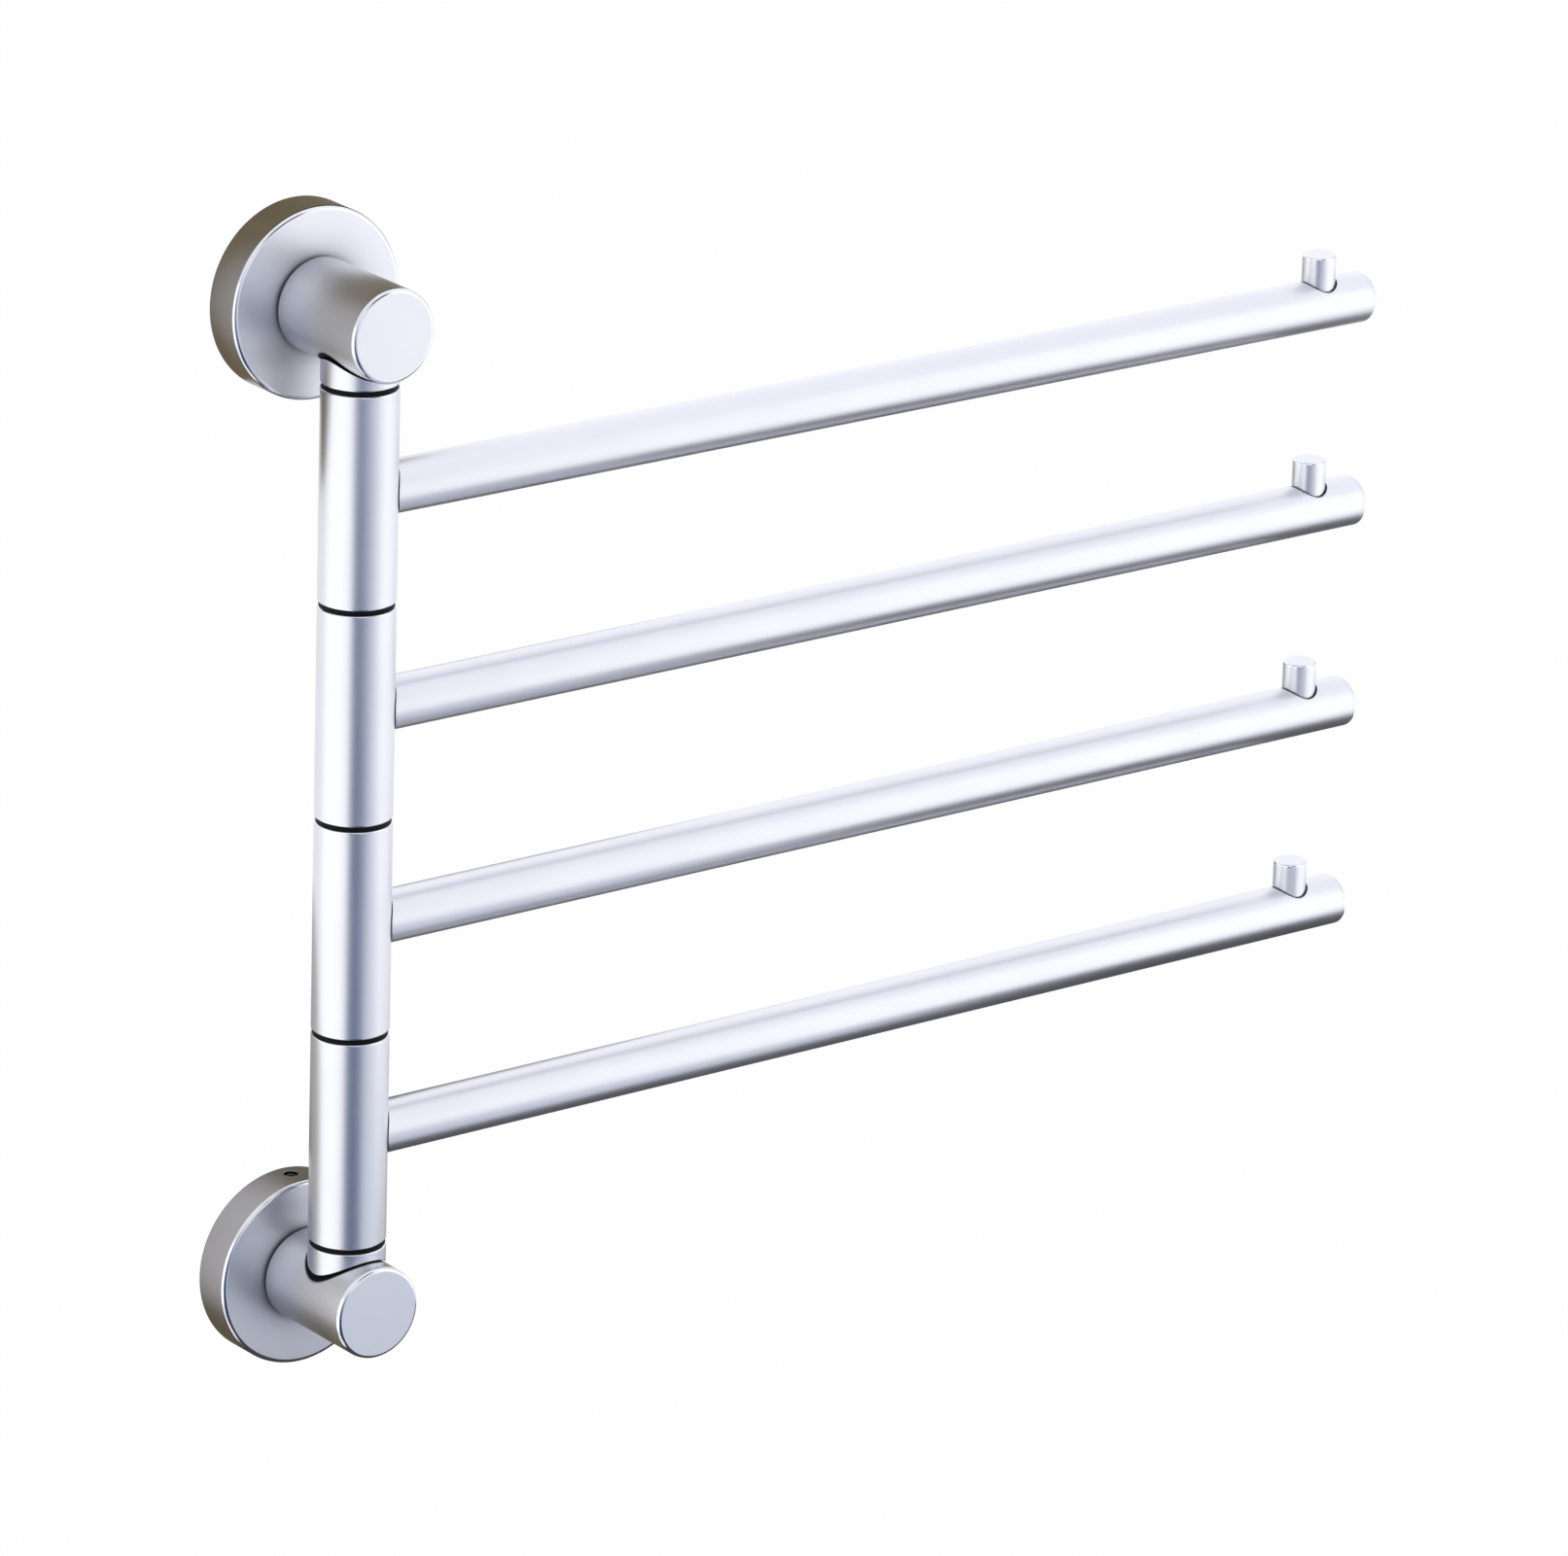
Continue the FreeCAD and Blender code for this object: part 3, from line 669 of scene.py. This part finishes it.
arm = {                                   # piece: surface, its axes, how far out it stands
    "bar": (bar(), sideways, 0),
    "end_cap": (endCap(), sideways, 0),
    "peg": (peg(), upright, pegPlace),
}
for number in armNumbers:
    low, high = measure("bar_%d" % number)
    for part, (surface, axes, reach) in arm.items():
        node = "%s_%d" % (part, number)
        makePiece(node + "_look", surface, axes, column + (reach, 0, (low[2] + high[2]) / 2),
                  "arm_%d" % number, [node], "satin_aluminium")
print("stage: arms made,", len(armNumbers))

# inner pieces keep their own meshes, in their own finishes
slotOf = {part["node"]: part["material_slot"] for part in frame["record"]["subparts"]}
for node, piece in frame["nodes"].items():
    if not piece.hide_render:
        piece.data.materials.clear()
        piece.data.materials.append(finishes[slotOf[node]])
print("stage: inner pieces finished")


# studio: world, floor, cards and soft boxes
def lightPathShare(paint):                # 1 for what the camera sees directly, mirrored or through glass
    share = paint.add("ShaderNodeLightPath", {}, {}, "Is Camera Ray")
    for ray in ("Is Glossy Ray", "Is Transmission Ray"):
        share = share + paint.add("ShaderNodeLightPath", {}, {}, ray)
    return share.maths("MINIMUM", share, 1.0)


def whiteWorld():                         # white to the camera and in reflections, dimmer on matt surfaces
    look = {"white": 1.0, "ambient": 0.6}
    paint = Paint(bpy.data.worlds.new("studio"))
    white = paint.add("ShaderNodeBackground", {}, {"Color": (1, 1, 1, 1), "Strength": look["white"]})
    ambient = paint.add("ShaderNodeBackground", {}, {"Color": (1, 1, 1, 1), "Strength": look["ambient"]})
    paint.close(paint.add("ShaderNodeMixShader", {}, {0: lightPathShare(paint), 1: ambient, 2: white}),
                "ShaderNodeOutputWorld")
    bpy.context.scene.world = paint.owner


def paleFloor():
    # a wide floor below the rack: white to the camera, with a little of its own shading left for shadows
    look = {"height": -1.2, "half": 40, "colour": (0.9, 0.9, 0.9, 1), "white": 0.985}
    paint = Paint(bpy.data.materials.new("paleFloor"))
    matt = paint.add("ShaderNodeBsdfDiffuse", {}, {"Color": look["colour"]})
    glow = paint.add("ShaderNodeEmission", {}, {"Color": (1, 1, 1, 1), "Strength": 1.0})
    clear = paint.add("ShaderNodeBsdfTransparent", {}, {})
    top = paint.add("ShaderNodeMixShader", {}, {0: lightPathShare(paint) * look["white"], 1: matt, 2: glow})
    below = paint.add("ShaderNodeNewGeometry", {}, {}, "Backfacing")
    paint.close(paint.add("ShaderNodeMixShader", {}, {0: below, 1: top, 2: clear}))
    half, height = look["half"], look["height"]
    mesh = bpy.data.meshes.new("floor")
    mesh.from_pydata([(-half, -half, height), (half, -half, height), (half, half, height),
                      (-half, half, height)], [], [(0, 1, 2, 3)])
    mesh.materials.append(paint.owner)
    floor = bpy.data.objects.new("floor", mesh)
    bpy.context.scene.collection.objects.link(floor)


def studioCard(name, points, faces, low, high=None, slope=None, start=None):
    # A card that shows only in reflections, all in its low colour. With a high one its colour goes from
    # low to high as place . slope + start, with the place in metres, goes from 0 to 1.
    mesh = bpy.data.meshes.new(name)
    mesh.from_pydata(np.array(points).tolist(), [], np.array(faces).tolist())
    paint = Paint(bpy.data.materials.new(name))
    colour = (*low, 1)
    if high:
        place = paint.add("ShaderNodeTexCoord", {}, {}, "Object")
        along = paint.add("ShaderNodeVectorMath", {"operation": "DOT_PRODUCT"}, {0: place, 1: slope},
                          "Value")
        share = paint.add("ShaderNodeMath", {"operation": "ADD", "use_clamp": True}, {0: along, 1: start})
        colour = paint.mixColours(share, colour, (*high, 1))
    paint.close(paint.add("ShaderNodeEmission", {}, {"Color": colour, "Strength": 1.0}))
    mesh.materials.append(paint.owner)
    card = bpy.data.objects.new(name, mesh)
    bpy.context.scene.collection.objects.link(card)
    card.visible_camera = card.visible_diffuse = card.visible_shadow = False
    card.visible_transmission = card.visible_volume_scatter = False


def flatCard(name, centre, facing, size, *shading):        # a rectangle round a centre, square to its facing
    centre, facing, vertical = np.array(centre), np.array(facing, float), np.array((0, 0, 1.0))
    facing = facing / np.linalg.norm(facing)
    if abs(facing[2]) > 0.9:
        vertical = np.array((0, 1.0, 0))
    across = np.cross(vertical, facing)
    across = across / np.linalg.norm(across)
    rise = np.cross(facing, across)
    corners = [centre + across * size[0] / 2 * x + rise * size[1] / 2 * y
               for x, y in ((-1, -1), (1, -1), (1, 1), (-1, 1))]
    studioCard(name, corners, [(0, 1, 2, 3)], *shading)


def arcCard(name, centre, inner, outer, angles, *shading):
    # part of a flat ring parallel to the wall; its outer radius passes through the given ones, evenly spaced
    count = 49
    angle = np.radians(np.linspace(*angles, count))
    circle = np.stack([np.cos(angle), 0 * angle, np.sin(angle)], 1)
    reach = np.interp(np.linspace(0, 1, count), np.linspace(0, 1, len(outer)), outer)
    points = np.concatenate([circle * inner, circle * reach[:, None]]) + centre
    first = np.arange(count - 1)
    faces = np.stack([first, first + 1, first + count + 1, first + count], 1)
    studioCard(name, points, faces, *shading)


flatCards = {                             # name: centre, facing, size, colour; or low, high, slope and start
    "cameraCard": ((-0.102, -1.060, -0.20), (0.342, 0.94, 0), (1.50, 1.60),
                   (0.01, 0.06, 0.19), (0.96, 0.98, 1.07), (1.03, -0.38, 1.4), 0.48),
    "footCard": ((-0.10, -0.62, -0.66), (0.1, 0.64, 0.66), (1.0, 0.45), (0.02, 0.045, 0.12)),
    "upperCard": ((0.18, -0.90, 0.62), (-0.18, 0.9, -0.62), (0.5, 0.5), (0.06, 0.05, 0.04)),
    "lowCard": ((0.42, 0.07, -0.50), (0, 0, 1), (1.05, 1.35),
                (0.065, 0.065, 0.07), (1.15, 1.17, 1.23), (3.0, -4.5, 0), -3.7),
    "nearCard": ((0.16, -0.32, -0.22), (0, 0, 1), (0.28, 0.44), (0.72, 0.75, 0.84)),
    "rightCard": ((1.2, -0.95, 0.20), (0, 1, 0), (1.4, 1.8),
                  (1.24, 1.24, 1.24), (1.58, 1.58, 1.58), (0.8, 0, 0), -0.4),
    "leftCard": ((-1.25, 0.15, -0.30), (1, 0, 0), (2.3, 1.6), (1.4, 1.39, 1.38)),
    "backCard": ((0.25, 0.30, -0.10), (0, -1, 0), (0.15, 0.34), (0.22, 0.20, 0.19)),
    "rearCard": ((0.9, 1.0, 0.70), (0, -1, 0), (2.0, 1.2), (1.2, 1.2, 1.22)),
    "sideCard": ((1.8, -0.35, -0.45), (-1, 0, 0), (1.5, 1.0), (1.25, 1.25, 1.27)),
    "topCard": ((0.95, -0.03, 1.20), (0, 0, -1), (2.2, 2.04), (1.12, 1.13, 1.18)),
}
for name, card in flatCards.items():
    flatCard(name, *card)
arcCards = {                              # name: centre, radii, angles, low, high, slope and start
    "upperArc": ((0, 0.015, fittingHeight * mm), 0.026,
                 (0.058, 0.075, 0.14, 0.135, 0.12, 0.115, 0.105, 0.08, 0.06), (-5, 255),
                 (0.10, 0.062, 0.002), (0.34, 0.32, 0.30), (-80, 0, 0), -2.8),
    "lowerArc": ((0, 0.015, -fittingHeight * mm), 0.026,
                 (0.06, 0.09, 0.11, 0.08, 0.08, 0.10, 0.115, 0.11), (-5, 310),
                 (0.070, 0.045, 0.004), (0.40, 0.38, 0.37), (-40, 0, 25), 2.9),
}
for name, card in arcCards.items():
    arcCard(name, *card)


def softBox(name, centre, size, radiance, aim=(0.15, -0.03, 0.0)):
    # lights matt surfaces only, with power = radiance . pi . area
    lamp = bpy.data.lights.new(name, "AREA")
    lamp.shape, lamp.size, lamp.size_y = "RECTANGLE", size[0], size[1]
    lamp.energy = radiance * math.pi * size[0] * size[1]
    box = bpy.data.objects.new(name, lamp)
    box.location = centre
    box.rotation_mode = "QUATERNION"
    box.rotation_quaternion = (Vector(aim) - Vector(centre)).to_track_quat("-Z", "Y")
    box.visible_glossy = False
    bpy.context.scene.collection.objects.link(box)


softBoxes = {                             # name: centre, size in metres, brightness
    "leftBox": ((-1.25, -0.15, -0.30), (1.2, 1.6), 0.8),
    "topBox": ((0.55, -0.35, 1.30), (1.8, 1.4), 0.8),
}
for name, box in softBoxes.items():
    softBox(name, *box)
whiteWorld()
paleFloor()
print("stage: studio made,", len(flatCards) + len(arcCards), "cards")


def cameraAt():
    # stands back from the aim at the azimuth and elevation, in degrees, and slid and rolled in its own frame
    view = {"aim": (0.150, -0.030, 0.0), "azimuth": -37.530, "elevation": 19.395, "roll": 1.750,
            "distance": 2.8958, "slide": (0.00106, -0.01671), "lens": 233.06}
    azimuth, elevation, roll = (math.radians(view[key]) for key in ("azimuth", "elevation", "roll"))
    back = np.array([math.sin(azimuth) * math.cos(elevation), -math.cos(azimuth) * math.cos(elevation),
                     math.sin(elevation)])
    level = np.cross(-back, (0, 0, 1))
    level = level / np.linalg.norm(level)
    rise = np.cross(level, -back)
    right = math.cos(roll) * level + math.sin(roll) * rise
    upward = math.cos(roll) * rise - math.sin(roll) * level
    place = (np.array(view["aim"]) + back * view["distance"] + right * view["slide"][0]
             + upward * view["slide"][1])
    lens = bpy.data.cameras.new("camera")
    lens.lens, lens.sensor_width, lens.clip_end = view["lens"], 36, 200
    camera = bpy.data.objects.new("camera", lens)
    turnTo = np.eye(4)
    turnTo[:3, :3] = np.stack([right, upward, back], 1)
    turnTo[:3, 3] = place
    camera.matrix_world = Matrix(turnTo.tolist())
    bpy.context.scene.collection.objects.link(camera)
    bpy.context.scene.camera = camera


cameraAt()
bpy.context.scene.view_settings.view_transform = "Standard"

bpy.context.view_layer.update()
print("stage: finished")
